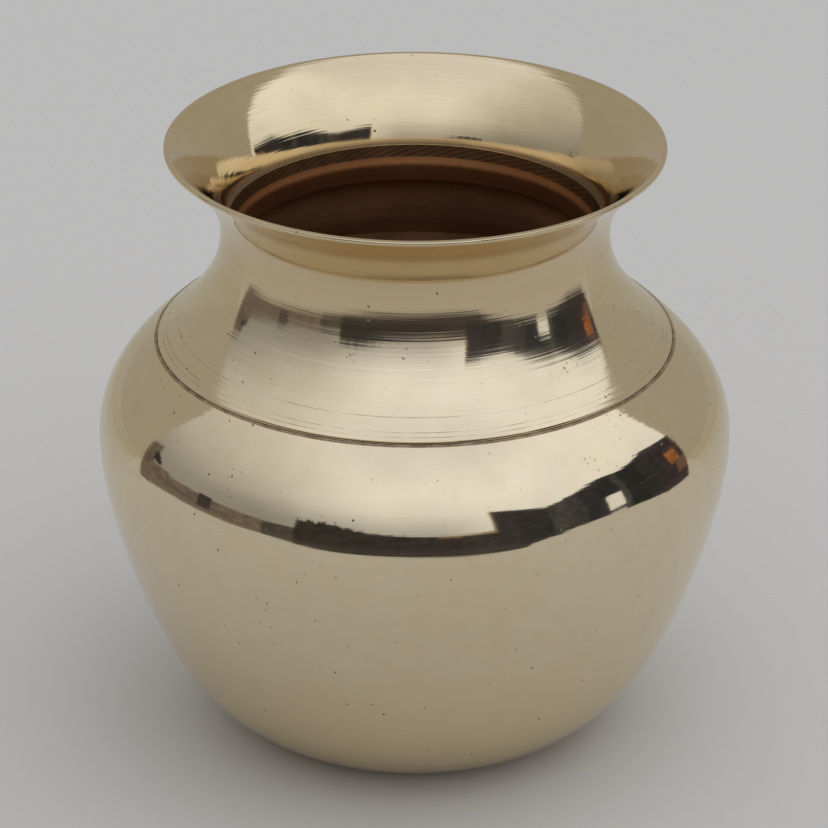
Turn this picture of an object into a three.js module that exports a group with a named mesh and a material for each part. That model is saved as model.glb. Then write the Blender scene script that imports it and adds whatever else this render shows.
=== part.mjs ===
// A brass lota: a round water pot with a turned-in shoulder, a narrow throat and a flared mouth.
// It is three castings, brazed at the shoulder and at the throat and turned on a lathe.
// Millimetres, +Z up. The origin is the centre of the base, on the surface it stands on.

import * as THREE from 'three';

// Outside of the vessel: radii, and rises from one level to the next
const FOOT_RADIUS = 22;
const TURN_RADIUS = 42.6;
const BELLY_RADIUS = 56.7;
const SEAM_RADIUS = 46.3;
const THROAT_RADIUS = 34.4;
const MOUTH_RADIUS = 44;
const TURN_RISE = 12;
const BELLY_RISE = 44;
const SHOULDER_RISE = 18.45;
const NECK_RISE = 18.65;
const FLARE_RISE = 16.3;
const LIP_EDGE = 0.7;

// How steeply the outline climbs where it has no upright or level tangent, in degrees
const TURN_CLIMB = 54.4;
const SEAM_CLIMB = 41.3;
const LIP_CLIMB = 46;

// How far each level's tangent reaches along the outline, below and above it
const FOOT_REACH = 11;
const TURN_REACH_BELOW = 5.9;
const TURN_REACH_ABOVE = 9.6;
const BELLY_REACH_BELOW = 13;
const BELLY_REACH_ABOVE = 8.5;
const SEAM_REACH_BELOW = 6.9;
const SEAM_REACH_ABOVE = 9.1;
const THROAT_REACH_BELOW = 6.7;
const THROAT_REACH_ABOVE = 10.8;
const LIP_REACH = 5.3;

// Metal
const WALL = 1.6;
const BASE_THICKNESS = 2.2;
const LIP_WALL = 1.1;
const LIP_LAND = 0.9;
const SEAM_FILLER = 0.5;
const SEAM_GROOVE = 0.45;
const NECK_FILLER = 0.4;

// Register lips that line the castings up: each hangs inside the mouth below it
const REGISTER_CLEARANCE = 0.3;
const SHOULDER_LIP_WALL = 1.2;
const SHOULDER_LIP_DROP = 3.6;
const NECK_LIP_WALL = 0.9;
const NECK_LIP_DROP = 3.5;
const NECK_LIP_CHAMFER = 1.2;

// Facets round the axis, and steps along each stretch of the outline
const SEGMENTS = 64;
const STEPS = { turn: 5, belly: 7, shoulder: 6, neck: 7, flare: 7 };

// Heights that follow from the rises
const turnHeight = TURN_RISE;
const bellyHeight = turnHeight + BELLY_RISE;
const seamHeight = bellyHeight + SHOULDER_RISE;
const shoulderFoot = seamHeight + SEAM_FILLER;
const neckTop = shoulderFoot + NECK_RISE;
const flareFoot = neckTop + NECK_FILLER;
const lipBottom = flareFoot + FLARE_RISE;
const lipTop = lipBottom + LIP_EDGE;

const radians = THREE.MathUtils.degToRad;

// The seam's faces are level, so across them a sloping wall is wider than it is thick.
const seamSlope = Math.tan(radians(SEAM_CLIMB));
const seamFaceWidth = WALL / Math.sin(radians(SEAM_CLIMB));
const bowlMouthRadius = SEAM_RADIUS - seamFaceWidth;
const shoulderFootRadius = SEAM_RADIUS - SEAM_FILLER / seamSlope;
const neckBore = THROAT_RADIUS - WALL;

// A level of the outline: its radius and height, the direction in which the outline passes
// through it, in degrees from outwards, and the reach of its tangent below and above.
function level(radius, height, direction, reachBelow, reachAbove) {
  const along = new THREE.Vector2(Math.cos(radians(direction)), Math.sin(radians(direction)));
  return { at: new THREE.Vector2(radius, height), along, reachBelow, reachAbove };
}

const foot = level(FOOT_RADIUS, 0, 0, 0, FOOT_REACH);
const turn = level(TURN_RADIUS, turnHeight, TURN_CLIMB, TURN_REACH_BELOW, TURN_REACH_ABOVE);
const belly = level(BELLY_RADIUS, bellyHeight, 90, BELLY_REACH_BELOW, BELLY_REACH_ABOVE);
const seamBelow = level(SEAM_RADIUS, seamHeight, 180 - SEAM_CLIMB, SEAM_REACH_BELOW, 0);
const seamAbove = level(shoulderFootRadius, shoulderFoot, 180 - SEAM_CLIMB, 0, SEAM_REACH_ABOVE);
const throatBelow = level(THROAT_RADIUS, neckTop, 90, THROAT_REACH_BELOW, 0);
const throatAbove = level(THROAT_RADIUS, flareFoot, 90, 0, THROAT_REACH_ABOVE);
const lip = level(MOUTH_RADIUS, lipBottom, LIP_CLIMB, LIP_REACH, 0);

// The curve from one level up to the next.
function stretch(lower, upper) {
  return new THREE.CubicBezierCurve(
    lower.at,
    lower.at.clone().addScaledVector(lower.along, lower.reachAbove),
    upper.at.clone().addScaledVector(upper.along, -upper.reachBelow),
    upper.at,
  );
}

// Points on a curve moved inwards, square to it, by a thickness that runs evenly between two.
function inside(curve, steps, lowerThickness, upperThickness) {
  const points = [];
  for (let i = 0; i <= steps; i += 1) {
    const t = i / steps;
    const tangent = curve.getTangent(t);
    const inward = new THREE.Vector2(-tangent.y, tangent.x);
    const thickness = THREE.MathUtils.lerp(lowerThickness, upperThickness, t);
    points.push(curve.getPoint(t).addScaledVector(inward, thickness));
  }
  return points;
}

// Points without those that repeat the one before.
function withoutRepeats(points) {
  const nearest = 1e-6;
  return points.filter((point, i) => i === 0 || point.distanceTo(points[i - 1]) > nearest);
}

function brass(color, roughness) {
  return new THREE.MeshStandardMaterial({ color, roughness, metalness: 1 });
}

// A body of revolution. Its outline runs from the base upwards on the outside and back inside.
function turned(name, outline, material, closed) {
  const points = withoutRepeats(outline);
  if (closed) {
    points.push(points[0].clone());
  }
  const geometry = new THREE.LatheGeometry(points, SEGMENTS);
  geometry.rotateX(Math.PI / 2);
  const mesh = new THREE.Mesh(geometry, material);
  mesh.name = name;
  return mesh;
}

// A flat ring of filler between two heights.
function ring(name, innerRadius, outerRadius, bottom, top, material) {
  const outline = [
    new THREE.Vector2(innerRadius, bottom),
    new THREE.Vector2(outerRadius, bottom),
    new THREE.Vector2(outerRadius, top),
    new THREE.Vector2(innerRadius, top),
  ];
  return turned(name, outline, material, true);
}

// Where a wall that runs downwards and outwards meets an upright face of the given radius.
function heightAtRadius(points, radius) {
  const i = points.findIndex((point) => point.x > radius);
  const above = points[i - 1];
  const below = points[i];
  const share = (radius - above.x) / (below.x - above.x);
  return THREE.MathUtils.lerp(above.y, below.y, share);
}

// Belly and base, up to the level face of the shoulder seam
function lowerBowl() {
  const turnCurve = stretch(foot, turn);
  const bellyCurve = stretch(turn, belly);
  const shoulderCurve = stretch(belly, seamBelow);
  const outer = [
    ...turnCurve.getPoints(STEPS.turn),
    ...bellyCurve.getPoints(STEPS.belly),
    ...shoulderCurve.getPoints(STEPS.shoulder),
  ];
  const inner = [
    ...inside(turnCurve, STEPS.turn, BASE_THICKNESS, WALL),
    ...inside(bellyCurve, STEPS.belly, WALL, WALL),
    ...inside(shoulderCurve, STEPS.shoulder, WALL, WALL),
    new THREE.Vector2(bowlMouthRadius, seamHeight),
  ];
  const outline = [
    new THREE.Vector2(0, 0),
    ...outer,
    ...inner.reverse(),
    new THREE.Vector2(0, BASE_THICKNESS),
  ];
  return turned('lower_bowl', outline, brass(0xc9b48a, 0.22), false);
}

// Shoulder and neck, with the register lip that hangs inside the bowl's mouth
function shoulder() {
  const curve = stretch(seamAbove, throatBelow);
  const outer = curve.getPoints(STEPS.neck);
  const lipOuter = bowlMouthRadius - REGISTER_CLEARANCE;
  const lipInner = lipOuter - SHOULDER_LIP_WALL;
  const wallInside = inside(curve, STEPS.neck, WALL, WALL).reverse();
  const lipMeetsWall = heightAtRadius(wallInside, lipInner);
  const lipEnd = shoulderFoot - SHOULDER_LIP_DROP;
  const outline = [
    ...outer,
    ...wallInside.filter((point) => point.x < lipInner),
    new THREE.Vector2(lipInner, lipMeetsWall),
    new THREE.Vector2(lipInner, lipEnd),
    new THREE.Vector2(lipOuter, lipEnd),
    new THREE.Vector2(lipOuter, shoulderFoot),
  ];
  return turned('shoulder', outline, brass(0xcbb78f, 0.18), true);
}

// Flared mouth and lip, with the register lip that hangs inside the neck
function mouthFlare() {
  const curve = stretch(throatAbove, lip);
  const wallInside = inside(curve, STEPS.flare, WALL, LIP_WALL);
  const lipOuter = neckBore - REGISTER_CLEARANCE;
  const bore = lipOuter - NECK_LIP_WALL;
  const lipEnd = flareFoot - NECK_LIP_DROP;
  const outline = [
    ...curve.getPoints(STEPS.flare),
    new THREE.Vector2(MOUTH_RADIUS, lipTop),
    new THREE.Vector2(MOUTH_RADIUS - LIP_LAND, lipTop),
    ...wallInside.slice(0, -1).reverse(),
    new THREE.Vector2(bore, flareFoot - NECK_LIP_CHAMFER),
    new THREE.Vector2(bore, lipEnd),
    new THREE.Vector2(lipOuter, lipEnd),
    new THREE.Vector2(lipOuter, flareFoot),
  ];
  return turned('mouth_flare', outline, brass(0xcdb98f, 0.15), true);
}

const lota = new THREE.Group();
lota.add(
  lowerBowl(),
  ring(
    'shoulder_braze',
    bowlMouthRadius,
    shoulderFootRadius - SEAM_GROOVE,
    seamHeight,
    shoulderFoot,
    brass(0x5a3d24, 0.7),
  ),
  shoulder(),
  ring('neck_braze', neckBore, THROAT_RADIUS, neckTop, flareFoot, brass(0xc2aa78, 0.35)),
  mouthFlare(),
);

export default lota;
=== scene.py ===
"""Looks of a polished brass lota: three turned castings, brazed at the shoulder and at the throat.

Every surface is a body of revolution, worked out as an outline in radius and height that goes
round the upright axis. Lengths are metres.
"""

import logging
import math
from dataclasses import dataclass
from enum import IntEnum
from typing import Any, Optional, Union

import bpy
import numpy as np
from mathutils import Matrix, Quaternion, Vector


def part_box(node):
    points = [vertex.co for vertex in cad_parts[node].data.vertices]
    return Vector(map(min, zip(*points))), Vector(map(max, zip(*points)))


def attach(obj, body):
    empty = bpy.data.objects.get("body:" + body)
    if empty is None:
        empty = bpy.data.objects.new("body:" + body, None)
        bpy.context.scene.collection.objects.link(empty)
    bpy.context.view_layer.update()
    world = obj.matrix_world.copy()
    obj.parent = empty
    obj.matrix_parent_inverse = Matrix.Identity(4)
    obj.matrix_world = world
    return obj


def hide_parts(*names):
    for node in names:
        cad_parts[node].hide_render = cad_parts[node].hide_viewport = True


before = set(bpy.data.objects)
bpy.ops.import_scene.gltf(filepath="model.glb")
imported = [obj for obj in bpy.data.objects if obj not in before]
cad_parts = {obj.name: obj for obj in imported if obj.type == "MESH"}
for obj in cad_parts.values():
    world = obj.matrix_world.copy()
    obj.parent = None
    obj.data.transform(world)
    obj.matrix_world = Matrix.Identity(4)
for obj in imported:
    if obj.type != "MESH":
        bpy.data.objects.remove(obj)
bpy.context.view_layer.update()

LOG = logging.getLogger("lota")
MM = 0.001
RUN = "run"
CLOSE = 1e-7
LIFT = 1.0 * MM
CELL_STEP = 0.001
BLACK = (0.0, 0.0, 0.0)
COLOURS = {"data_type": "RGBA", "clamp_factor": True}

Pair = tuple[float, float]
Colour = tuple[float, float, float]
Number = Union["Wire", float]
Array = np.ndarray
Object = bpy.types.Object
Material = bpy.types.Material
Socket = bpy.types.NodeSocket


class Finish(IntEnum):
    """The finishes of the pot, in the order of their material slots."""

    POLISHED = 0
    ROUGH_TURNED = 1
    CAST_SKIN = 2
    RESIDUE = 3
    SCRIBED = 4
    WORN_FILLER = 5


# Shapes


@dataclass(frozen=True)
class Level:
    """A level of the outline: where it is, how it climbs there and how far its tangent reaches.

    The climb is the angle of the outline from straight outwards, in degrees, walking upwards.
    """

    radius: float
    height: float
    climb: float
    reach_below: float = 0.0
    reach_above: float = 0.0

    def point(self) -> Array:
        """Radius and height as an array."""
        return np.array([self.radius, self.height])

    def along(self) -> Array:
        """The unit direction of the outline at this level."""
        angle = math.radians(self.climb)
        return np.array([math.cos(angle), math.sin(angle)])


def inward(slopes: Array) -> Array:
    """Unit directions into the metal: (-z, r) over the length of each slope (r, z)."""
    slopes = slopes / np.linalg.norm(slopes, axis=1, keepdims=True)
    return np.column_stack([-slopes[:, 1], slopes[:, 0]])


def walk(points: Array) -> Array:
    """How far each point is along the line through all of them."""
    steps = np.linalg.norm(np.diff(points, axis=0), axis=1)
    return np.concatenate([[0.0], np.cumsum(steps)])


def stretch(lower: Level, upper: Level, steps: int, skin: Pair = (0.0, 0.0)) -> Array:
    """Points on the curve between two levels, moved into the metal.

    A cubic Bezier curve whose inner control points lie along the two levels' tangents. Its points
    are then moved square to it, by a thickness that runs evenly from one end to the other.

    Args:
        lower: The level where the curve starts.
        upper: The level where it ends.
        steps: How many steps the curve has.
        skin: How far its two ends are moved.

    Returns:
        Rows of radius and height.
    """
    t = np.linspace(0.0, 1.0, steps + 1)[:, None]
    s = 1 - t
    start, end = lower.point(), upper.point()
    first = start + lower.along() * lower.reach_above
    second = end - upper.along() * upper.reach_below
    points = s**3 * start + 3 * s**2 * t * first + 3 * s * t**2 * second + t**3 * end
    slopes = s**2 * (first - start) + 2 * s * t * (second - first) + t**2 * (end - second)
    return points + inward(slopes) * (skin[0] + (skin[1] - skin[0]) * t)


def straight(start: Any, end: Any, steps: int) -> Array:
    """Evenly spaced points on the line from start to end, both included."""
    return np.linspace(start, end, steps + 1)


def eased(before: Any, corner: Any, after: Any, reach: float, steps: int = 5) -> Array:
    """Points that round a corner: a quadratic Bezier curve that starts and ends reach away.

    Args:
        before: Any point on the side that leads to the corner.
        corner: The corner itself.
        after: Any point on the side that leaves it.
        reach: How far the rounding starts from the corner.
        steps: How many steps the curve has.

    Returns:
        Rows of radius and height.
    """
    corner = np.asarray(corner, dtype=float)
    sides = before - corner, after - corner
    start, end = (corner + side * (reach / np.linalg.norm(side)) for side in sides)
    t = np.linspace(0.0, 1.0, steps + 1)[:, None]
    return (1 - t) ** 2 * start + 2 * (1 - t) * t * corner + t**2 * end


def scribed(
    points: Array, places: tuple[float, ...], depths: tuple[float, ...], width: float
) -> tuple[Array, Array]:
    """A stretch of outline with fine V-shaped lines cut into it.

    Each line adds three points: its two edges on the outline, and its bottom, which lies square to
    the outline, in the metal, by the line's depth.

    Args:
        points: Rows of radius and height, walking upwards on the outside.
        places: Distances along the outline where the lines are.
        depths: The depth of each line.
        width: The width of every line.

    Returns:
        For each point the finish of the face that leads to it, and the points.
    """
    run, lines = walk(points), np.array(places)
    cuts = (lines[:, None] + np.array([-0.5, 0.0, 0.5]) * width).ravel()
    clear = np.abs(run[:, None] - lines).min(axis=1) > width * 0.6
    wanted = np.sort(np.concatenate([run[clear], cuts]))
    rows = np.column_stack([np.interp(wanted, run, part) for part in points.T])
    slopes = np.gradient(rows, wanted, axis=0)
    bottom = np.isclose(wanted[:, None], lines)
    cut = bottom.any(axis=1)
    finishes = np.where(cut | np.roll(cut, 1), Finish.SCRIBED, Finish.POLISHED)
    return finishes, rows + inward(slopes) * (bottom @ np.array(depths))[:, None]


def merged(strokes: list[tuple]) -> tuple[Array, Array]:
    """An outline that is drawn stroke by stroke.

    Args:
        strokes: Each the finish of the faces that lead to its points, or one for each point, and
            then the points, as rows of radius and height or singly.

    Returns:
        All points in order, without those that repeat the one before, and their finishes.
    """
    rows = [np.vstack([np.atleast_2d(part) for part in parts]) for _, *parts in strokes]
    kinds = [np.broadcast_to(kind, len(part)) for (kind, *_), part in zip(strokes, rows)]
    points, finishes = np.vstack(rows), np.concatenate(kinds)
    keep = np.append(True, np.linalg.norm(np.diff(points, axis=0), axis=1) > CLOSE)
    return points[keep], finishes[keep]


def grid_faces(rows: int, columns: int, closed_up: bool, closed_round: bool) -> Array:
    """The faces of a grid whose vertex numbers are row times columns plus column.

    Args:
        rows: How many rows of vertices it has.
        columns: How many vertices each row has.
        closed_up: Whether the last row is joined to the first.
        closed_round: Whether the last column is joined to the first.

    Returns:
        Four vertex numbers for each face.
    """
    low = np.arange(rows if closed_up else rows - 1)[:, None]
    left = np.arange(columns if closed_round else columns - 1)
    right, low, high = (left + 1) % columns, low * columns, (low + 1) % rows * columns
    return np.stack([low + left, low + right, high + right, high + left], axis=-1).reshape(-1, 4)


@dataclass(frozen=True)
class Lathe:
    """Turns outlines into closed meshes of revolution."""

    segments: int = 384
    sharp: float = 40.0

    def turn(self, name: str, strokes: list[tuple]) -> Object:
        """A body of revolution.

        Vertex k of ring i is (r cos a, r sin a, z) with a = 2 pi k / segments. The outline walks
        upwards on the outside and back on the inside, and either closes on itself or starts and
        ends on the axis, where it has a single vertex. The vertices keep the distance walked along
        it as an attribute, for patterns that follow the turning.

        Args:
            name: The object's name.
            strokes: The outline, as merged takes it.

        Returns:
            The new object, at the origin, with its place in its mesh.
        """
        points, finishes = merged(strokes)
        walked = walk(points)
        poles = points[0, 0] < CLOSE
        inner = slice(1, -1) if poles else slice(None)
        rings, segments = points[inner], self.segments
        angle = np.arange(segments) * (2 * math.pi / segments)
        grid = np.empty((len(rings), segments, 3))
        grid[..., 0] = rings[:, :1] * np.cos(angle)
        grid[..., 1] = rings[:, :1] * np.sin(angle)
        grid[..., 2] = rings[:, 1:]
        vertices, runs = grid.reshape(-1, 3), np.repeat(walked[inner], segments)
        faces = grid_faces(len(rings), segments, not poles, True)
        loops, totals = [faces.ravel()], [np.full(len(faces), 4)]
        kinds = [np.repeat(finishes[2:-1] if poles else np.roll(finishes, -1), segments)]
        if poles:
            bottom, last = len(vertices), len(vertices) - segments
            here = np.arange(segments)
            beside = (here + 1) % segments
            vertices = np.vstack([vertices, [0, 0, points[0, 1]], [0, 0, points[-1, 1]]])
            runs = np.concatenate([runs, walked[[0, -1]]])
            base = [np.full(segments, bottom), beside, here]
            top = [np.full(segments, bottom + 1), last + here, last + beside]
            loops += [np.stack(fan, axis=-1).ravel() for fan in (base, top)]
            totals.append(np.full(2 * segments, 3))
            kinds.append(np.repeat(finishes[[1, -1]], segments))
        made = mesh_object(name, vertices, np.concatenate(loops), np.concatenate(totals))
        slots = np.concatenate(kinds).astype(np.int32)
        made.data.polygons.foreach_set("material_index", slots)
        layer = made.data.attributes.new(RUN, "FLOAT", "POINT")
        layer.data.foreach_set("value", runs.astype(np.float32))
        made.data.set_sharp_from_angle(angle=math.radians(self.sharp))
        return made


def mesh_object(name: str, vertices: Array, loops: Array, totals: Array) -> Object:
    """A mesh object from whole arrays.

    Args:
        name: The object's name.
        vertices: One row of x, y, z for each vertex.
        loops: The vertex numbers of all faces, one after another.
        totals: How many vertices each face has.

    Returns:
        The new object, in the scene and shaded smooth.
    """
    mesh = bpy.data.meshes.new(name)
    mesh.vertices.add(len(vertices))
    mesh.vertices.foreach_set("co", vertices.astype(np.float32).ravel())
    mesh.loops.add(len(loops))
    mesh.loops.foreach_set("vertex_index", loops.astype(np.int32))
    mesh.polygons.add(len(totals))
    mesh.polygons.foreach_set("loop_start", (np.cumsum(totals) - totals).astype(np.int32))
    mesh.polygons.foreach_set("use_smooth", np.ones(len(totals), dtype=bool))
    mesh.update(calc_edges=True)
    made = bpy.data.objects.new(name, mesh)
    bpy.context.scene.collection.objects.link(made)
    return made


def aimed(name: str, data: Any, place: tuple, target: tuple, roll: float = 0.0) -> Object:
    """A lamp or camera in the scene that looks at a point.

    Args:
        name: The object's name.
        data: The lamp or camera.
        place: Where it is.
        target: Where it looks.
        roll: How far it is turned about its line of sight, in degrees.

    Returns:
        The new object.
    """
    made = bpy.data.objects.new(name, data)
    made.location = place
    aim = (Vector(target) - Vector(place)).to_track_quat("-Z", "Y")
    turn = Quaternion((0.0, 0.0, 1.0), math.radians(roll))
    made.rotation_euler = (aim @ turn).to_euler()
    bpy.context.scene.collection.objects.link(made)
    return made


# Shader arithmetic


@dataclass(frozen=True)
class Grain:
    """Noise with features one over scale across, octaves of detail, and their strength."""

    scale: float
    detail: float = 2.0
    rough: float = 0.5


@dataclass(frozen=True)
class Spots:
    """A scatter of round spots.

    Scale is cells for each metre, and share how many of them have a spot. Size is the largest
    spot's radius in cells, and soft how much of the radius its edge takes. The higher faint is,
    the fewer of the spots are strong.
    """

    scale: float
    share: float
    size: float
    soft: float = 0.5
    faint: float = 2.5


class Wire:
    """A number that runs through a shader, with arithmetic that adds Math nodes."""

    def __init__(self, shader: "Shader", socket: Socket) -> None:
        """Wraps an output socket of a shader."""
        self.shader = shader
        self.socket = socket

    def math(self, operation: str, *others: Number, swap: bool = False) -> "Wire":
        """A Math node.

        Args:
            operation: What it does.
            others: The numbers that follow this one.
            swap: Whether they are taken from the last to the first.

        Returns:
            What comes out of it.
        """
        values = dict(enumerate([self, *others][:: -1 if swap else 1]))
        made = self.shader.node("ShaderNodeMath", {"operation": operation}, values)
        return Wire(self.shader, made.outputs[0])

    def __add__(self, other: Number) -> "Wire":
        """This plus other."""
        return self.math("ADD", other)

    def __sub__(self, other: Number) -> "Wire":
        """This minus other."""
        return self.math("SUBTRACT", other)

    def __rsub__(self, other: float) -> "Wire":
        """Other minus this."""
        return self.math("SUBTRACT", other, swap=True)

    def __mul__(self, other: Number) -> "Wire":
        """This times other."""
        return self.math("MULTIPLY", other)

    __radd__ = __add__
    __rmul__ = __mul__

    def between(self, low: float, high: float) -> "Wire":
        """A smooth step between two values, whichever is larger.

        Args:
            low: Where it is 0.
            high: Where it is 1.

        Returns:
            The step.
        """
        if low > high:
            return 1.0 - self.between(high, low)
        settings = {"interpolation_type": "SMOOTHSTEP"}
        inputs = {"Value": self, "From Min": low, "From Max": high}
        made = self.shader.node("ShaderNodeMapRange", settings, inputs)
        return Wire(self.shader, made.outputs[0])


class Shader:
    """A material that is put together node by node, with its coordinates ready."""

    def __init__(self, name: str, owner: Any = None) -> None:
        """Makes an empty material.

        Args:
            name: Its name.
            owner: A world that is emptied instead.
        """
        self.material = owner or bpy.data.materials.new(name)
        self.material.use_nodes = True
        self.tree = self.material.node_tree
        self.tree.nodes.clear()
        self.coordinates = self.node("ShaderNodeTexCoord").outputs
        self.place = self.coordinates["Generated" if owner else "Object"]
        split = self.node("ShaderNodeSeparateXYZ", inputs={0: self.place})
        self.x, self.y, self.z = (Wire(self, socket) for socket in split.outputs)

    def node(
        self, kind: str, settings: Optional[dict] = None, inputs: Optional[dict] = None
    ) -> bpy.types.Node:
        """Adds any node.

        Args:
            kind: The node's type.
            settings: Its properties, set first.
            inputs: Values or links by the name or number of the socket.

        Returns:
            The new node.
        """
        made = self.tree.nodes.new(kind)
        for key, value in (settings or {}).items():
            setattr(made, key, value)
        for key, value in (inputs or {}).items():
            if isinstance(value, Wire):
                value = value.socket
            if isinstance(value, Socket):
                self.tree.links.new(value, made.inputs[key])
            else:
                made.inputs[key].default_value = value
        return made

    def walked(self) -> Wire:
        """The distance along the turned outline."""
        return Wire(self, self.node("ShaderNodeAttribute", {"attribute_name": RUN}).outputs["Fac"])

    def joined(self, x: Any, y: Any, z: Any) -> Socket:
        """A vector from three numbers."""
        return self.node("ShaderNodeCombineXYZ", inputs={0: x, 1: y, 2: z}).outputs[0]

    def texture(self, vector: Any, grain: Grain) -> bpy.types.NodeOutputs:
        """The outputs of a noise texture of that grain."""
        inputs = {"Vector": vector, "Scale": grain.scale, "Detail": grain.detail}
        return self.node("ShaderNodeTexNoise", inputs={**inputs, "Roughness": grain.rough}).outputs

    def noise(self, grain: Grain, vector: Any = None) -> Wire:
        """Smooth noise about 0.5, on the place or another vector."""
        return Wire(self, self.texture(vector or self.place, grain)[0])

    def vector(self, operation: str, *vectors: Any, out: str = "Vector") -> Socket:
        """An output of a Vector Math node."""
        inputs = dict(enumerate(vectors))
        return self.node("ShaderNodeVectorMath", {"operation": operation}, inputs).outputs[out]

    def measure(self, operation: str, *vectors: Any) -> Wire:
        """The value of a Vector Math node."""
        return Wire(self, self.vector(operation, *vectors, out="Value"))

    def centred(self, colour: Socket) -> Socket:
        """A vector from a random colour, about 0."""
        return self.vector("SUBTRACT", colour, (0.5, 0.5, 0.5))

    def warped(self, vector: Any, grain: Grain, reach: float) -> Socket:
        """Coordinates pushed about by noise, so that a pattern on them gets ragged edges."""
        push = self.centred(self.texture(vector, grain)["Color"])
        return self.vector("ADD", vector, self.vector("MULTIPLY", push, (reach, reach, reach)))

    def cells(self, vector: Any, spots: Spots) -> tuple[bpy.types.NodeOutputs, Wire, Wire, Wire]:
        """Random cells, a share of which is chosen.

        Args:
            vector: The coordinates of the pattern.
            spots: The scale of the cells, and the share that is chosen.

        Returns:
            The Voronoi node's outputs, 1 in a chosen cell and 0 in the others, and two more
            random numbers.
        """
        inputs = {"Vector": vector, "Scale": spots.scale}
        made = self.node("ShaderNodeTexVoronoi", inputs=inputs).outputs
        split = self.node("ShaderNodeSeparateColor", inputs={0: made["Color"]})
        chance, *others = (Wire(self, socket) for socket in split.outputs)
        limit = 1.0 - spots.share
        return made, chance.between(limit - CELL_STEP, limit + CELL_STEP), *others

    def specks(self, vector: Any, spots: Spots) -> Wire:
        """Round spots, most of them faint and some strong, and 0 outside.

        Args:
            vector: The coordinates of the pattern.
            spots: What the spots are like.

        Returns:
            The mask.
        """
        made, chosen, chance, strength = self.cells(vector, spots)
        reach = Wire(self, made["Distance"]).math("DIVIDE", chance * 0.6 + 0.4)
        shape = reach.between(spots.size, spots.size * (1.0 - spots.soft))
        return shape * chosen * (strength.math("POWER", spots.faint) * 0.85 + 0.15)

    def scratches(self, spots: Spots) -> Wire:
        """Short straight scratches, each where a random plane through a cell cuts the surface.

        Args:
            spots: Their scale and share, a scratch's width in metres, and how soft its edge is.

        Returns:
            The mask.
        """
        made, chosen, _, strength = self.cells(self.place, spots)
        aim = self.vector("NORMALIZE", self.centred(made["Color"]))
        offset = self.vector("SUBTRACT", self.place, made["Position"])
        away = self.measure("DOT_PRODUCT", offset, aim).math("ABSOLUTE")
        near = Wire(self, made["Distance"]).between(0.32, 0.2)
        return away.between(spots.size, spots.size * (1.0 - spots.soft)) * near * chosen * strength

    def rings(self, spacing: float, around: float = 12.0, detail: float = 1.0) -> Wire:
        """Turning lines: noise that changes quickly along the profile and slowly round the axis."""
        along = self.walked() * (1.0 / spacing)
        return self.noise(Grain(1.0, detail), self.joined(self.x * around, self.y * around, along))

    def mix(self, share: Any, first: Any, second: Any) -> Socket:
        """A colour between two, by a number from 0 to 1."""
        inputs = {"Factor": share, 6: opaque(first), 7: opaque(second)}
        return self.node("ShaderNodeMix", COLOURS, inputs).outputs[2]

    def bump(self, height: Wire) -> Socket:
        """A normal from a height in metres."""
        inputs = {"Height": height, "Strength": 1.0, "Distance": 1.0}
        return self.node("ShaderNodeBump", inputs=inputs).outputs[0]

    def surface(self, **inputs: Any) -> Material:
        """Ends the material with a Principled shader.

        Args:
            inputs: What its sockets get, their names written with _ for a space.

        Returns:
            The material.
        """
        named = {key.replace("_", " "): value for key, value in inputs.items()}
        shader = self.node("ShaderNodeBsdfPrincipled", inputs=named)
        self.node("ShaderNodeOutputMaterial", inputs={"Surface": shader.outputs[0]})
        return self.material


def opaque(colour: Any) -> Any:
    """A colour of three numbers with its alpha, or the socket that was given."""
    return (*colour, 1.0) if isinstance(colour, tuple) else colour


# Finishes


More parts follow.
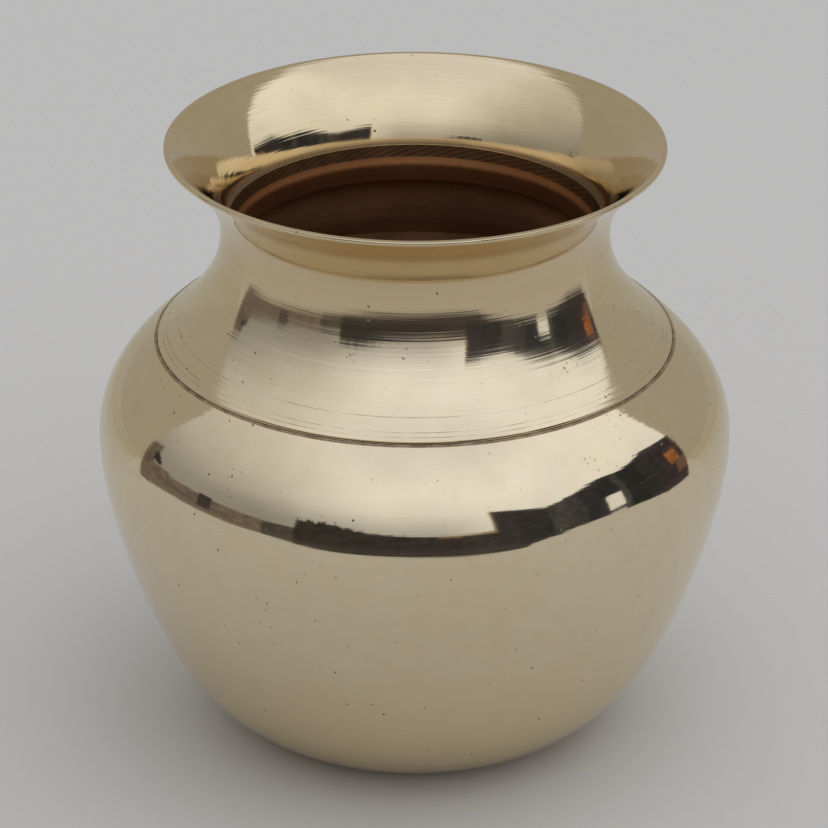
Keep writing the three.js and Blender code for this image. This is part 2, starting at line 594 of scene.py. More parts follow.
@dataclass(frozen=True)
class PolishedBrass:
    """Brass turned and buffed bright: turning lines, haze, casting pits, stains and scratches.

    Between two given heights the colour is mixed towards a painted reflection tint: warm
    inter-reflection near the neck and in the throat, and on the bowl, low down, the warmer floor
    that it mirrors. Inside the throat the metal is dull by a given share, and mixed there towards
    a painted golden reflection of the opposite polished wall. A mirrored picture is smeared along
    the outline, across the turning lines, by the anisotropy. The flaws are porous patches, each
    with its place and its radius.
    """

    bright: Colour = (0.80, 0.69, 0.495)
    deep: Colour = (0.72, 0.585, 0.37)
    # Painted reflection: the warm inter-reflection near the neck and in the throat.
    painted_reflection_tint: Colour = (0.62, 0.46, 0.25)
    stain: Colour = (0.40, 0.30, 0.18)
    pit: Colour = (0.085, 0.06, 0.04)
    # Painted reflection: the gold of the opposite polished wall, mirrored inside the throat.
    painted_reflection_gold: Colour = (0.66, 0.39, 0.145)
    roughness: float = 0.055
    smoothest: float = 0.035
    haze: float = 0.05
    anisotropy: float = 0.0
    quarter_turn: float = 0.25
    clouds: Grain = Grain(30.0, 4.0, 0.6)
    mottle: Grain = Grain(240.0, 4.0, 0.65)
    stains: Grain = Grain(85.0, 5.0, 0.7)
    swells: Grain = Grain(24.0, 1.0)
    swell: float = 0.05 * MM
    coarse: float = 0.012 * MM
    coarse_spacing: float = 1.5 * MM
    fine: float = 0.008 * MM
    fine_spacing: float = 0.42 * MM
    fine_around: float = 22.0
    fine_tone: float = 0.12
    band_spacing: float = 5.0 * MM
    smooth_run: float = -1.0 * MM
    skin: Grain = Grain(1100.0)
    skin_height: float = 0.0006 * MM
    tears: tuple = ((Grain(900.0), 0.45 * MM), (Grain(2600.0), 0.3 * MM))
    smudges: Spots = Spots(140.0, 0.3, 0.24, 0.9)
    pits: Spots = Spots(420.0, 0.9, 0.15)
    crowd: Spots = Spots(1050.0, 0.95, 0.4, 0.6, 0.6)
    porous: Grain = Grain(95.0)
    pit_depth: float = 0.015 * MM
    flaws: tuple = ()
    scratches: Spots = Spots(130.0, 0.18, 0.045 * MM, 0.7)
    scratch_depth: float = 0.002 * MM
    shaded: Pair = (86.0 * MM, 94.0 * MM)
    satin_and_painted_gold: float = 0.0
    satin_heights: Pair = (99.2 * MM, 97.6 * MM)
    satin_radii: Pair = (34.0 * MM, 33.6 * MM)

    def build(self, name: str) -> Material:
        """The material.

        Args:
            name: Its name.

        Returns:
            The material.
        """
        shader = Shader(name)
        ragged = shader.place
        for grain, reach in self.tears:
            ragged = shader.warped(ragged, grain, reach)
        clouds = shader.noise(self.clouds)
        mottle = shader.noise(self.mottle)
        marks = self.marks(shader, ragged)
        smudges = shader.specks(ragged, self.smudges) * mottle.between(0.35, 0.6)
        stains = shader.noise(self.stains).between(0.60, 0.76)
        coarse = shader.rings(self.coarse_spacing)
        fine = shader.rings(self.fine_spacing, self.fine_around, 2.0)
        scratches = shader.scratches(self.scratches)
        radius = (shader.x * shader.x + shader.y * shader.y).math("SQRT")
        throat = shader.z.between(*self.satin_heights) * radius.between(*self.satin_radii)
        satin_and_painted_gold = throat * self.satin_and_painted_gold

        tone = (clouds - 0.5) * 0.7 + (mottle - 0.5) * 0.5 + (fine - 0.5) * self.fine_tone + 0.30
        colour = shader.mix(tone, self.bright, self.deep)
        # Painted reflection: between the two heights the colour is mixed towards the painted
        # reflection tint.
        colour = shader.mix(shader.z.between(*self.shaded) * 0.45, colour, self.painted_reflection_tint)
        # Painted reflection: inside the throat the colour is mixed towards that gold; the same
        # share makes the metal dull there.
        colour = shader.mix(satin_and_painted_gold * 0.9, colour, self.painted_reflection_gold)
        colour = shader.mix(stains * 0.16 + smudges * 0.3 + scratches * 0.2, colour, self.stain)
        colour = shader.mix(marks * 0.92, colour, self.pit)
        rough = self.roughness + (clouds - 0.42) * self.haze + (fine - 0.5) * (self.fine_tone * 0.1)
        rough = rough + stains * 0.04 + (mottle - 0.5) * 0.04 + scratches * 0.1
        rough = rough + marks * 0.4 + satin_and_painted_gold * 0.3
        height = shader.noise(self.swells) * self.swell
        height = height + coarse * self.coarse + self.lines(shader, fine)
        height = height + shader.noise(self.skin) * self.skin_height
        height = height - marks * self.pit_depth - scratches * self.scratch_depth
        return shader.surface(
            Base_Color=colour,
            Metallic=1.0 - satin_and_painted_gold * 0.75,
            Roughness=rough.math("MAXIMUM", self.smoothest),
            Anisotropic=self.anisotropy,
            Anisotropic_Rotation=self.quarter_turn,
            Normal=shader.bump(height),
        )

    def lines(self, shader: Shader, fine: Wire) -> Wire:
        """Height of the fine turning lines, which come in bands and are weak where it is smooth.

        Args:
            shader: The shader.
            fine: The noise of the lines.

        Returns:
            The height.
        """
        run = shader.walked()
        along = shader.joined(0.0, 0.0, run * (1.0 / self.band_spacing))
        bands = shader.noise(Grain(1.0, 1.0), along).between(0.35, 0.65)
        kept = run.between(self.smooth_run - 1.0 * MM, self.smooth_run) * 0.8 + 0.2
        return fine * (bands * 0.7 + 0.3) * kept * self.fine

    def marks(self, shader: Shader, ragged: Socket) -> Wire:
        """Casting pits: single ones, clusters of small ones, and porous patches at the flaws.

        Args:
            shader: The shader.
            ragged: Coordinates that give ragged edges.

        Returns:
            The mask.
        """
        porous = shader.noise(self.porous).between(0.68, 0.74)
        for *middle, reach in self.flaws:
            away = shader.measure("DISTANCE", shader.place, tuple(middle))
            porous = porous.math("MAXIMUM", away.between(reach, reach * 0.35))
        crowd = shader.specks(ragged, self.crowd) * porous
        return shader.specks(ragged, self.pits).math("MAXIMUM", crowd)


@dataclass(frozen=True)
class RoughTurned:
    """The band below the polished mouth: brown, cut on the lathe, with slanting chatter marks."""

    light: Colour = (0.16, 0.075, 0.028)
    dark: Colour = (0.05, 0.023, 0.010)
    marks_round: float = 80.0
    slant: float = 7300.0
    wobble: Grain = Grain(60.0)
    wobble_size: float = 9.0
    grime: Grain = Grain(320.0, 4.0, 0.65)
    mark_height: float = 0.014 * MM
    grime_height: float = 0.02 * MM

    def build(self, name: str) -> Material:
        """The material.

        Args:
            name: Its name.

        Returns:
            The material.
        """
        shader = Shader(name)
        turn = shader.y.math("ARCTAN2", shader.x) * self.marks_round
        wobble = shader.noise(self.wobble) * self.wobble_size
        chatter = (turn + shader.z * self.slant + wobble).math("SINE") * 0.5 + 0.5
        grime = shader.noise(self.grime)
        return shader.surface(
            Base_Color=shader.mix(chatter * 0.3 + grime * 0.9 - 0.28, self.dark, self.light),
            Metallic=0.85,
            Roughness=0.5 - chatter * 0.1,
            Normal=shader.bump(chatter * self.mark_height + grime * self.grime_height),
        )


@dataclass(frozen=True)
class CastSkin:
    """The unpolished inside: brown casting skin, mottled and grainy, darker towards the throat."""

    dark: Colour = (0.30, 0.17, 0.09)
    brown: Colour = (0.50, 0.29, 0.15)
    warm: Colour = (0.58, 0.34, 0.16)
    # A darker colour towards the throat.
    throat_dark: Colour = (0.22, 0.088, 0.03)
    throat_heights: Pair = (84.0 * MM, 91.0 * MM)
    patches: Grain = Grain(34.0, 5.0, 0.6)
    patch_height: float = 0.4 * MM
    warmth: Grain = Grain(75.0, 4.0, 0.7)
    grain: Grain = Grain(900.0, 3.0, 0.6)
    grain_height: float = 0.04 * MM
    ring_spacing: float = 2.2 * MM
    ring_height: float = 0.03 * MM

    def build(self, name: str) -> Material:
        """The material.

        Args:
            name: Its name.

        Returns:
            The material.
        """
        shader = Shader(name)
        patches = shader.noise(self.patches)
        grain = shader.noise(self.grain)
        rings = shader.rings(self.ring_spacing)
        warmth = shader.noise(self.warmth).between(0.55, 0.75)
        throat_dark = shader.z.between(*self.throat_heights)
        tone = (patches + (rings - 0.5) * 0.3).between(0.35, 0.68)
        colour = shader.mix(tone, self.dark, self.brown)
        colour = shader.mix(warmth * 0.6, colour, self.warm)
        # Darker towards the throat, between the two given heights.
        colour = shader.mix(throat_dark * (0.9 + (patches - 0.5) * 0.4), colour, self.throat_dark)
        height = grain * self.grain_height + patches * self.patch_height + rings * self.ring_height
        return shader.surface(
            Base_Color=colour,
            Metallic=throat_dark * 0.35 + 0.55,
            Roughness=0.48 + (grain - 0.5) * 0.3,
            Normal=shader.bump(height),
        )


@dataclass(frozen=True)
class Residue:
    """Dried polish and dirt in a groove or a scribed line, brown with small voids.

    Where bare is above 0, brass shows through in stretches along the line.
    """

    dark: Colour = (0.085, 0.052, 0.03)
    light: Colour = (0.22, 0.15, 0.09)
    brass: Colour = (0.72, 0.60, 0.42)
    bare: float = 0.0
    metallic: float = 0.4
    roughness: float = 0.6
    lumps: Grain = Grain(420.0, 4.0, 0.65)
    lump_height: float = 0.03 * MM
    gaps: Grain = Grain(70.0, 3.0, 0.6)

    def build(self, name: str) -> Material:
        """The material.

        Args:
            name: Its name.

        Returns:
            The material.
        """
        shader = Shader(name)
        lumps = shader.noise(self.lumps)
        clean = shader.noise(self.gaps).between(0.42, 0.58) * self.bare
        colour = shader.mix(lumps.between(0.38, 0.66), self.dark, self.light)
        return shader.surface(
            Base_Color=shader.mix(clean, colour, self.brass),
            Metallic=clean * (1.0 - self.metallic) + self.metallic,
            Roughness=self.roughness - clean * 0.35,
            Normal=shader.bump(lumps * self.lump_height),
        )


# The pot


@dataclass(frozen=True)
class Outline:
    """The pot's thicknesses and levels. What the boxes of the frame's nodes give is from there.

    The slope is rise over run at the seam, whose radius is that of the bowl's top face, on the
    line that crosses the filler. The bowl's mouth is the inner radius of that face. The throat is
    a hair narrower at the foot of the mouth than at the top of the shoulder.
    """

    wall: float = 1.6 * MM
    base_thickness: float = 2.2 * MM
    clearance: float = 0.3 * MM
    ease: float = 0.07 * MM
    shoulder_inset: float = 0.28 * MM
    lip_edge: float = 0.55 * MM
    lip_land: float = 0.9 * MM

    shoulder_radius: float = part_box("shoulder")[1].x
    throat_radius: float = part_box("neck_braze")[1].x
    mouth_radius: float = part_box("mouth_flare")[1].x
    seam_height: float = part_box("lower_bowl")[1].z
    shoulder_foot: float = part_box("shoulder_braze")[1].z
    neck_top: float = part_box("neck_braze")[0].z
    flare_foot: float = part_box("neck_braze")[1].z
    lip_top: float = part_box("mouth_flare")[1].z

    seam_climb: float = 41.3
    seam_slope: float = math.tan(math.radians(seam_climb))
    seam_radius: float = shoulder_radius + (shoulder_foot - seam_height) / seam_slope
    bowl_mouth: float = seam_radius - wall / math.sin(math.radians(seam_climb))
    neck_climb: float = 93.3
    throat_lean: float = (flare_foot - neck_top) / math.tan(math.radians(neck_climb))

    foot: Level = Level(22.0 * MM, 0.0, 0.0, reach_above=11.0 * MM)
    turn: Level = Level(42.6 * MM, 12.0 * MM, 54.4, 5.9 * MM, 9.6 * MM)
    belly: Level = Level(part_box("lower_bowl")[1].x, 56.0 * MM, 90.0, 13.0 * MM, 8.5 * MM)
    seam_below: Level = Level(seam_radius, seam_height, 180.0 - seam_climb, reach_below=6.9 * MM)
    seam_above: Level = Level(
        shoulder_radius - shoulder_inset, shoulder_foot, 180.0 - seam_climb, reach_above=7.0 * MM
    )
    throat_below: Level = Level(throat_radius, neck_top, neck_climb, reach_below=7.9 * MM)
    throat_above: Level = Level(
        throat_radius + throat_lean, flare_foot, neck_climb, reach_above=9.4 * MM
    )
    lip: Level = Level(mouth_radius, lip_top - lip_edge, 45.0, reach_below=3.2 * MM)
    throat_inside: Level = Level(32.9 * MM, lip_top - 13.85 * MM, 82.0, reach_above=4.1 * MM)
    lip_inside: Level = Level(mouth_radius - lip_land, lip_top, 33.9, reach_below=6.4 * MM)


@dataclass
class Piece:
    """What every piece of the pot has: an outline, a node that it stands for, and its finishes."""

    outline: Outline
    lathe: Lathe
    materials: list[Material]
    node: str = ""
    record_slot: str = ""

    def strokes(self) -> list[tuple]:
        """The piece's outline, stroke by stroke."""
        raise NotImplementedError

    def build(self) -> None:
        """Makes the piece, dresses it and puts it in the frame in place of its node."""
        made = self.lathe.turn(f"{self.node}_visual", self.strokes())
        for material in self.materials:
            made.data.materials.append(material)
        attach(made, "root")
        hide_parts(self.node)
        LOG.info("%s: %d faces", made.name, len(made.data.polygons))


@dataclass
class LowerBowl(Piece):
    """Belly and base, up to the seam on the shoulder."""

    node: str = "lower_bowl"
    record_slot: str = "bowl_brass"
    worn_edge: float = 0.17 * MM

    def strokes(self) -> list[tuple]:
        """Base, outside, level top face, then the inside.

        Returns:
            The strokes of the outline.
        """
        o = self.outline
        walls, land = (o.wall, o.wall), (o.bowl_mouth, o.seam_height)
        outer = stretch(o.belly, o.seam_below, steps=60)
        inner_turn = stretch(o.foot, o.turn, 16, (o.base_thickness, o.wall))[::-1]
        outside = [
            straight((0.0, 0.0), (o.foot.radius, 0.0), steps=8),
            stretch(o.foot, o.turn, steps=44),
            stretch(o.turn, o.belly, steps=48),
            outer[:-1],
            eased(outer[-2], outer[-1], land, self.worn_edge)[0],
        ]
        inside = [
            stretch(o.belly, o.seam_below, 20, walls)[::-1],
            stretch(o.turn, o.belly, 24, walls)[::-1],
            inner_turn,
            straight(inner_turn[-1], (0.0, o.base_thickness), steps=6),
        ]
        return [
            (Finish.POLISHED, *outside),
            (Finish.WORN_FILLER, eased(outer[-2], outer[-1], land, o.ease)),
            (Finish.CAST_SKIN, land, *inside),
        ]


@dataclass
class Shoulder(Piece):
    """Shoulder and neck, with the register lip that hangs inside the bowl's mouth."""

    node: str = "shoulder"
    record_slot: str = "shoulder_brass"
    lines: tuple[float, ...] = (0.8 * MM, 1.7 * MM, 4.4 * MM)
    line_depths: tuple[float, ...] = (0.010 * MM, 0.006 * MM, 0.004 * MM)
    line_width: float = 0.12 * MM
    lip_wall: float = 1.2 * MM
    lip_end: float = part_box("shoulder")[0].z

    def strokes(self) -> list[tuple]:
        """Outside with its scribed lines, level top face, inside, then the register lip.

        Returns:
            The strokes of the outline.
        """
        o = self.outline
        smooth = stretch(o.seam_above, o.throat_below, steps=110)
        outside = scribed(smooth, self.lines, self.line_depths, self.line_width)
        lip_outer = o.bowl_mouth - o.clearance
        lip_inner = lip_outer - self.lip_wall
        inner = stretch(o.seam_above, o.throat_below, 40, (o.wall, o.wall))[::-1]
        inner = inner[inner[:, 0] < lip_inner]
        inner[0] = o.throat_radius - o.wall, o.neck_top
        meets = inner[-1, 1] - (lip_inner - inner[-1, 0]) * o.seam_slope
        lip = [(lip_inner, meets), (lip_inner, self.lip_end), (lip_outer, self.lip_end)]
        return [outside, (Finish.CAST_SKIN, inner, lip, (lip_outer, o.shoulder_foot))]


@dataclass
class MouthFlare(Piece):
    """Flared mouth and lip, with the register lip that hangs inside the neck."""

    node: str = "mouth_flare"
    record_slot: str = "flare_brass"
    rough_height: float = 2.2 * MM
    rough_taper: float = 0.65 * MM
    rough_ease: float = 0.5 * MM
    lip_round: float = 0.3 * MM
    lip_ease_outside: float = 0.04 * MM
    lip_ease_inside: float = 0.08 * MM
    register_wall: float = 0.9 * MM
    register_ease: float = 0.3 * MM
    register_end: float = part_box("mouth_flare")[0].z
    chamfer: float = 1.2 * MM

    def strokes(self) -> list[tuple]:
        """Outside, rounded lip, polished inside, rough band, then the register lip.

        Returns:
            The strokes of the outline.
        """
        o = self.outline
        outer = stretch(o.throat_above, o.lip, steps=90)
        inner = stretch(o.throat_inside, o.lip_inside, steps=90)[::-1]
        side = o.throat_radius - o.wall - o.clearance
        bore = side - self.register_wall
        low, corner = (o.mouth_radius, o.lip_top - self.lip_round), (o.mouth_radius, o.lip_top)
        rough = inner[-1] - (self.rough_taper, self.rough_height)
        end = (bore, self.register_end)
        bright = [
            outer[:-1],
            eased(outer[-2], outer[-1], low, self.lip_ease_outside),
            eased(low, corner, inner[0], self.lip_round, steps=14),
            eased(corner, inner[0], inner[2], self.lip_ease_inside),
            inner[1:-1],
            eased(inner[-2], inner[-1], rough, o.ease),
        ]
        register = [
            eased(rough, (bore, rough[1] - self.chamfer), end, self.rough_ease),
            eased((bore, o.flare_foot), end, (side, self.register_end), self.register_ease),
            [(side, self.register_end), (side, o.flare_foot)],
        ]
        return [
            (Finish.POLISHED, *bright),
            (Finish.ROUGH_TURNED, straight(inner[-1], rough, steps=6)[1:]),
            (Finish.CAST_SKIN, *register),
        ]


@dataclass
class NeckFiller(Piece):
    """The thin ring of filler at the throat, dressed flush and polished with the wall."""

    node: str = "neck_braze"
    record_slot: str = "neck_filler"

    def strokes(self) -> list[tuple]:
        """A rectangle in section.

        Returns:
            The strokes of the outline.
        """
        o = self.outline
        bore, corner = o.throat_radius - o.wall, (o.throat_radius, o.neck_top)
        return [
            (Finish.CAST_SKIN, (bore, o.neck_top), corner),
            (Finish.POLISHED, straight(corner, o.throat_above.point(), steps=3)),
            (Finish.CAST_SKIN, (bore, o.flare_foot)),
        ]


@dataclass
class SeamFiller(Piece):
    """The ring of filler in the shoulder seam.

    From the bowl's edge up it is worn nearly flush and slightly hollow. A narrow groove follows,
    which holds residue, and then a polished strip that was turned with the shoulder.
    """

    node: str = "shoulder_braze"
    record_slot: str = "seam_filler"
    steps: int = 50
    stride: int = 4
    step_in: float = 0.02 * MM
    hollow: float = 0.02 * MM
    worn_share: float = 0.36
    polished_share: float = 0.56
    groove_depth: float = 0.09 * MM

    def strokes(self) -> list[tuple]:
        """Level bottom face, the worn part along the outline, the groove, and level top face.

        Returns:
            The strokes of the outline.
        """
        o = self.outline
        start = (o.seam_radius - self.step_in, o.seam_height)
        line = straight(start, o.seam_above.point(), self.steps)
        worn = line[: round(self.steps * self.worn_share) + 1 : self.stride]
        worn[:, 0] -= np.sin(np.linspace(0.0, math.pi, len(worn))) * self.hollow
        brink = line[round(self.steps * self.polished_share)]
        return [
            (Finish.RESIDUE, (o.bowl_mouth, o.seam_height), line[0]),
            (Finish.WORN_FILLER, worn),
            (Finish.RESIDUE, (worn[-1] + brink) / 2 - (self.groove_depth, 0.0), brink),
            (Finish.POLISHED, brink, line[-1]),
            (Finish.RESIDUE, (o.bowl_mouth, o.shoulder_foot)),
        ]


# The studio


@dataclass(frozen=True)
class Board:
    """An upright board that stands round the pot, out of the picture, for the metal to mirror.

    Azimuths are in degrees from the camera's side, positive to the right. The elevations are those
    of its edges as the belly sees them. Without a bottom it stands on the floor, and a cloth of the
    same colour lies in front of it, from the distances of cloth_start and cloth_end on. A ragged
    board has an uneven top, by that many degrees.
    """

    start: float
    end: float
    top_start: float
    top_end: float
    colour: Colour
    bottom: Optional[float] = None
    cloth_start: float = 0.0
    cloth_end: float = 0.0
    ragged: float = 0.0


# The boards round the front, from left to right. Those that come later stand in front.
NIGHT, MAUVE, SHADE = (0.022, 0.024, 0.032), (0.036, 0.030, 0.034), (0.05, 0.042, 0.05)
UMBER, DUSK, SLATE = (0.155, 0.13, 0.118), (0.075, 0.067, 0.066), (0.058, 0.059, 0.063)
SAND, RUST = (0.22, 0.165, 0.11), (0.32, 0.125, 0.045)
BOARDS = (
    Board(-111.7, -106, 13, 16, (0.14, 0.11, 0.095), None, 0.385, 0.385),
    Board(-107, -92, 4.8, 5.6, UMBER, None, 0.39, 0.52),
    Board(-92, -54, 5.8, 6.4, UMBER, None, 0.54, 0.53),
    Board(-107, -102, 13, 8, NIGHT, 6.0),
    Board(-81, -75, 7.4, 7.2, SHADE, -3.5),
    Board(-54, -42, 6.3, 6.5, DUSK, None, 0.50, 0.42),
    Board(-42, -30, 16, 17.5, (0.035, 0.031, 0.031), None, 0.41, 0.37, 2.2),
    Board(-30, -18, 17, 13.5, (0.032, 0.032, 0.032), None, 0.36, 0.335, 1.6),
    Board(-18, 16, 12.5, 10.0, MAUVE, None, 0.335, 0.32, 0.4),
    Board(8, 29, 11.2, 11.8, SAND, 8.0),
    Board(16, 29, 9.2, 9.4, (0.044, 0.040, 0.046), None, 0.32, 0.325),
    Board(28, 30, 31, 31, SAND, 9.4),
    Board(29, 37, 30.8, 28.8, (0.038, 0.036, 0.045), None, 0.325, 0.345),
    Board(37, 49, 28.2, 24, (0.030, 0.030, 0.037), None, 0.345, 0.66),
    Board(49, 57, 24, 25.5, SLATE, None, 0.66, 1.0),
    Board(57, 63, 26.5, 27.5, (0.046, 0.048, 0.054), -2.4),
    Board(63, 71.5, 28, 28.5, (0.026, 0.028, 0.039), -1.6),
    Board(71.5, 78.5, 1.0, 0.5, SHADE, -1.2),
    Board(71.5, 78.5, 28.5, 28.5, NIGHT, 13.0),
    Board(78.5, 81.5, 28, 27.5, SLATE, None, 1.1, 1.0),
    Board(81.5, 90, 26.5, 26, (0.018, 0.022, 0.025), None, 1.0, 0.6),
    Board(90, 98, 26, 26, (0.027, 0.027, 0.034), None, 0.6, 0.43),
    Board(98, 111.7, 26, 19, (0.034, 0.027, 0.036), None, 0.42, 0.385),
    Board(103.5, 109, 15, 13, RUST, 5.0),
    Board(106, 111.7, 5, 4, (0.13, 0.08, 0.065), -4.0),
)


@dataclass(frozen=True)
class Studio:
    """Pale floor, soft light from all round, boards for the metal to mirror, and the camera."""

    floor_radius: float = 4.0
    floor_sides: int = 96
    floor_colour: Colour = (0.565, 0.54, 0.50)
    floor_change: float = 0.985
    paper: Grain = Grain(300.0, 3.0)
    left_sky: Colour = (0.60, 0.605, 0.61)
    right_sky: Colour = (1.00, 1.045, 1.13)
    left_to_right: Pair = (-0.85, -0.15)
    zenith: Colour = (0.86, 0.89, 1.0)
    zenith_heights: Pair = (0.82, 0.96)
    cloud: Colour = (0.70, 0.73, 0.78)
    overcast: Grain = Grain(2.6, 4.0, 0.55)
    low_heights: Pair = (0.72, 0.16)
    lamp_size: float = 1.6
    lamp_energy: float = 4.0
    lamp_place: tuple = (0.5, -0.5, 1.9)
    lamp_target: tuple = (0.0, 0.0, 0.05)
    board_distance: float = 1.145
    board_gap: float = 0.004
    board_columns: int = 25
    ragged_columns: int = 181
    ragged_rates: tuple = (1.3, 3.1, 6.7)
    ragged_sizes: tuple = (0.5, 0.35, 0.25)
    board_foot: float = -60.0
    cloth_gap: float = 0.01
    mottle: float = 0.22
    mottles: Grain = Grain(14.0, 3.0, 0.6)
    eye_radius: float = 0.055
    eye_height: float = 0.062
    wall_distance: float = 1.4
    wall_half_width: float = 3.75
    wall_height: float = 11.0
    wall_colour: Colour = (0.385, 0.365, 0.325)
    ground_turn: Pair = (112.0, 248.0)
    ground_columns: int = 49
    ground_near: float = 0.1
    ground_far: float = 3.36
    ground_fade: float = 0.35
    # Painted shade: the floor behind the pot, darker as the metal mirrors it.
    painted_ground_shade: Colour = (0.385, 0.37, 0.315)
    camera_place: tuple = (0.0, -0.7049, 0.3995)
    camera_target: tuple = (0.0, 0.0, 0.05824)
    camera_lens: float = 189.2
    camera_roll: float = 0.16
    camera_shift: float = -0.0008
    camera_reach: float = 50.0

    def build(self) -> None:
        """Makes everything that isn't the pot."""
        self.floor()
        self.world()
        self.light()
        self.wall()
        self.ground()
        for number, board in enumerate(BOARDS):
            self.stand(number, board)
        self.camera()

    def floor(self) -> None:
        """A round pale floor: its corner k is at (cos a, sin a) with a = 2 pi k / sides."""
        sides = self.floor_sides
        angle = np.arange(sides) * (2 * math.pi / sides)
        vertices = np.column_stack([np.cos(angle), np.sin(angle), np.zeros(sides)])
        vertices *= self.floor_radius
        made = mesh_object("floor", vertices, np.arange(sides), np.array([sides]))
        shader = Shader("floor_paper")
        grain = shader.noise(self.paper)
        darker = tuple(part * self.floor_change for part in self.floor_colour)
        colour = shader.mix(grain, self.floor_colour, darker)
        made.data.materials.append(shader.surface(Base_Color=colour, Roughness=0.9))

    def world(self) -> None:
        """Soft cloudy light from everywhere, weaker from the left and near the horizon."""
        world = bpy.data.worlds.new("surroundings")
        shader = Shader("surroundings", world)
        clouds = shader.noise(self.overcast)
        softness = (clouds - 0.5) * 0.3
        side = (shader.x + softness).between(*self.left_to_right)
        high = shader.z + softness * 0.3
        low = high.between(*self.low_heights) * (shader.x.between(0.55, 0.1) * 0.35 + 0.13)
        colour = shader.mix(side, self.left_sky, self.right_sky)
        colour = shader.mix(high.between(*self.zenith_heights), colour, self.zenith)
        colour = shader.mix(clouds.between(0.35, 0.7) * 0.22, colour, self.cloud)
        colour = shader.mix(low, colour, BLACK)
        background = shader.node("ShaderNodeBackground", inputs={"Color": colour, "Strength": 1.0})
        shader.node("ShaderNodeOutputWorld", inputs={"Surface": background.outputs[0]})
        bpy.context.scene.world = world

    def light(self) -> None:
        """A large soft lamp above, which lights the floor and shows in no metal."""
        lamp = bpy.data.lights.new("softbox", "AREA")
        lamp.shape = "DISK"
        lamp.size = self.lamp_size
        lamp.energy = self.lamp_energy
        aimed("softbox", lamp, self.lamp_place, self.lamp_target).visible_glossy = False

    def stand(self, number: int, board: Board) -> None:
        """Makes a board as a curved strip round the pot, with its cloth.

        The belly mirrors azimuth a where its own azimuth is a / 2, at the eye. Each edge is at
        eye + reach (sin a, -cos a), and as high as the eye plus reach times tan(elevation). A
        ragged top adds three sines of the azimuth. Each board stands nearer than the one before.

        Args:
            number: Its place in the order of the boards.
            board: The board.
        """
        columns = self.ragged_columns if board.ragged else self.board_columns
        turn = np.linspace(board.start, board.end, columns)
        top = np.linspace(board.top_start, board.top_end, columns)
        cloth = np.linspace(board.cloth_start, board.cloth_end, columns)
        away = self.board_distance - self.board_gap * number
        top = top + board.ragged * np.sin(np.outer(turn, self.ragged_rates)) @ self.ragged_sizes
        bottom = np.full(columns, self.board_foot if board.bottom is None else board.bottom)
        edges = self.eye_height + away * np.tan(np.radians(np.stack([bottom, top])))
        heights, reaches = np.maximum(edges, LIFT), np.full((2, columns), away)
        if board.bottom is None:
            heights = np.vstack([np.full(columns, LIFT), heights])
            near = np.minimum(cloth - self.eye_radius, away - self.cloth_gap)
            reaches = np.vstack([near, reaches])
        angle = np.radians(turn)
        x = np.sin(angle / 2) * self.eye_radius + np.sin(angle) * reaches
        y = -np.cos(angle / 2) * self.eye_radius - np.cos(angle) * reaches
        rows = np.stack([x, y, heights], axis=-1)
        self.mirrored(f"board_{number}", rows, board.colour, self.mottle)

    def ground(self) -> None:
        """A glossy-only sheet of painted shade on the ground between the pot and the wall behind
        it.
        """
        angle = np.radians(np.linspace(*self.ground_turn, self.ground_columns))
        reach = np.array([[self.ground_near], [self.ground_far]])
        x, y = np.sin(angle) * reach, np.minimum(-np.cos(angle) * reach, self.wall_distance)
        rows = np.stack([x, y, np.full(x.shape, LIFT)], axis=-1)
        self.mirrored("ground", rows, self.painted_ground_shade, fade=self.ground_fade)

    def wall(self) -> None:
        """A tall beige wall behind the pot."""
        x, z = np.meshgrid(np.array([-1.0, 1.0]) * self.wall_half_width, [LIFT, self.wall_height])
        rows = np.stack([x, np.full(x.shape, self.wall_distance), z], axis=-1)
        self.mirrored("wall", rows, self.wall_colour)

    def mirrored(
        self, name: str, rows: Array, colour: Colour, mottle: float = 0.0, fade: float = 0.0
    ) -> None:
        """Makes a card that only the metal sees.

        Args:
            name: The card's name.
            rows: Its vertices, as an array of rows by columns by 3.
            colour: Its colour, as bright as it is.
            mottle: How much darker and lighter it is in patches.
            fade: How far behind the pot it is at full strength, if it fades towards the pot.
        """
        faces = grid_faces(*rows.shape[:2], False, False)
        made = mesh_object(name, rows.reshape(-1, 3), faces.ravel(), np.full(len(faces), 4))
        shader = Shader(f"{name}_paint")
        patches = shader.noise(self.mottles).between(0.4, 0.6)
        tones = (tuple(part * (1.0 + change) for part in colour) for change in (-mottle, mottle))
        made.data.materials.append(
            shader.surface(
                Base_Color=opaque(BLACK),
                Roughness=1.0,
                Emission_Color=shader.mix(patches, *tones),
                Emission_Strength=1.0,
                Alpha=shader.y.between(0.0, fade) if fade else 1.0,
            )
        )
        made.visible_camera = False
        made.visible_diffuse = False
        made.visible_shadow = False

    def camera(self) -> None:
        """The camera at the photograph's place."""
        data = bpy.data.cameras.new("camera")
        data.lens = self.camera_lens
        data.shift_x = self.camera_shift
        data.clip_end = self.camera_reach
        made = aimed("camera", data, self.camera_place, self.camera_target, self.camera_roll)
        bpy.context.scene.camera = made


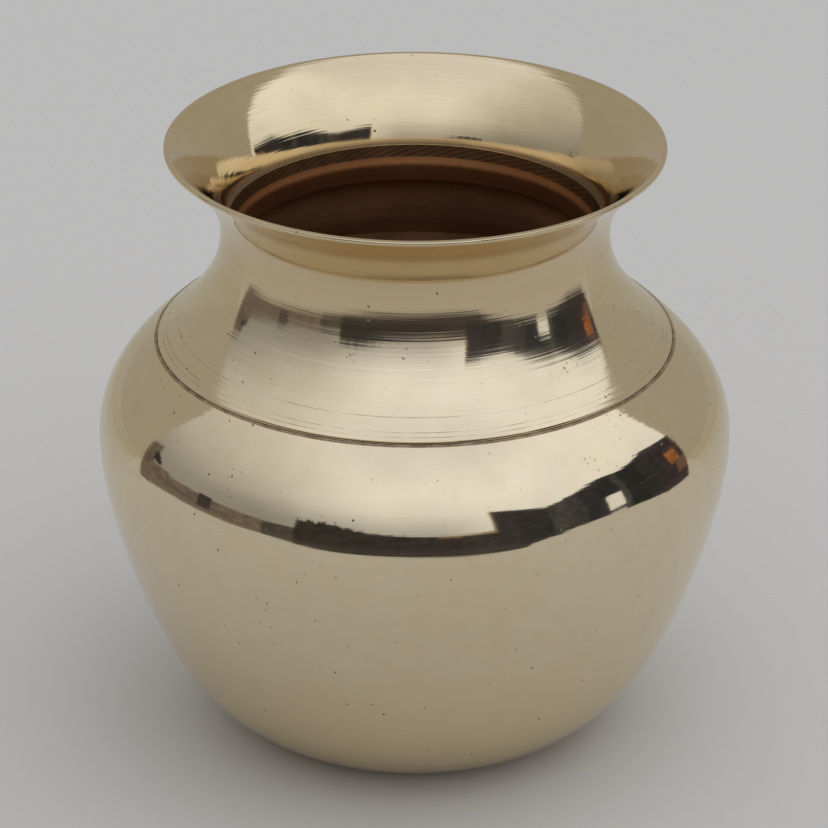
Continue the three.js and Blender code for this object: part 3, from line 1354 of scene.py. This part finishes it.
def main() -> None:
    """Builds the studio and the pot, piece by piece."""
    logging.basicConfig(level=logging.INFO, format="%(name)s: %(message)s")
    bpy.context.scene.view_settings.view_transform = "Standard"
    Studio().build()
    line = Residue(
        dark=(0.40, 0.31, 0.20),
        light=(0.60, 0.49, 0.33),
        brass=(0.76, 0.65, 0.455),
        bare=0.9,
        metallic=1.0,
        roughness=0.45,
    )
    filler = Residue(
        dark=(0.34, 0.245, 0.155), light=(0.52, 0.40, 0.27), metallic=1.0, roughness=0.3
    )
    others = [
        RoughTurned().build("rough_turned_brass"),
        CastSkin().build("cast_skin"),
        Residue().build("residue"),
        line.build("scribed_line"),
        filler.build("worn_filler"),
    ]
    bowl = PolishedBrass(
        # Painted reflection: low on the bowl, the warmer floor that it mirrors.
        painted_reflection_tint=(0.86, 0.68, 0.38),
        shaded=(40.0 * MM, 2.0 * MM),
        flaws=(
            (0.034, -0.032, 0.0742, 3.5 * MM),
            (0.030, -0.042, 0.069, 2.5 * MM),
            (-0.031, -0.043, 0.067, 3.0 * MM),
            (-0.028, -0.0375, 0.0738, 1.3 * MM),
        ),
    ).build("bowl_brass")
    shoulder = PolishedBrass(
        roughness=0.095,
        anisotropy=0.9,
        coarse=0.03 * MM,
        fine=0.035 * MM,
        fine_tone=0.5,
        pits=Spots(420.0, 0.6, 0.15),
        flaws=(
            (0.034, -0.030, 0.0755, 3.5 * MM),
            (-0.0135, -0.0325, 0.0882, 1.5 * MM),
            (-0.011, -0.035, 0.0857, 1.3 * MM),
            (-0.0285, -0.028, 0.0806, 1.3 * MM),
        ),
    ).build("shoulder_brass")
    flare = PolishedBrass(
        bright=(0.78, 0.66, 0.455),
        deep=(0.69, 0.55, 0.335),
        roughness=0.06,
        anisotropy=0.8,
        coarse=0.015 * MM,
        fine=0.03 * MM,
        fine_tone=0.8,
        smooth_run=19.5 * MM,
        pits=Spots(420.0, 0.5, 0.15),
        # Painted reflection: warm inter-reflection towards the neck and in the throat.
        shaded=(110.0 * MM, 94.0 * MM),
        # Dull inside the throat, with a painted golden reflection of the opposite wall.
        satin_and_painted_gold=0.3,
    ).build("flare_brass")
    outline, lathe = Outline(), Lathe()
    for kind, brass in (
        (LowerBowl, bowl),
        (SeamFiller, bowl),
        (Shoulder, shoulder),
        (NeckFiller, shoulder),
        (MouthFlare, flare),
    ):
        kind(outline, lathe, [brass, *others]).build()


if __name__ == "__main__":
    main()
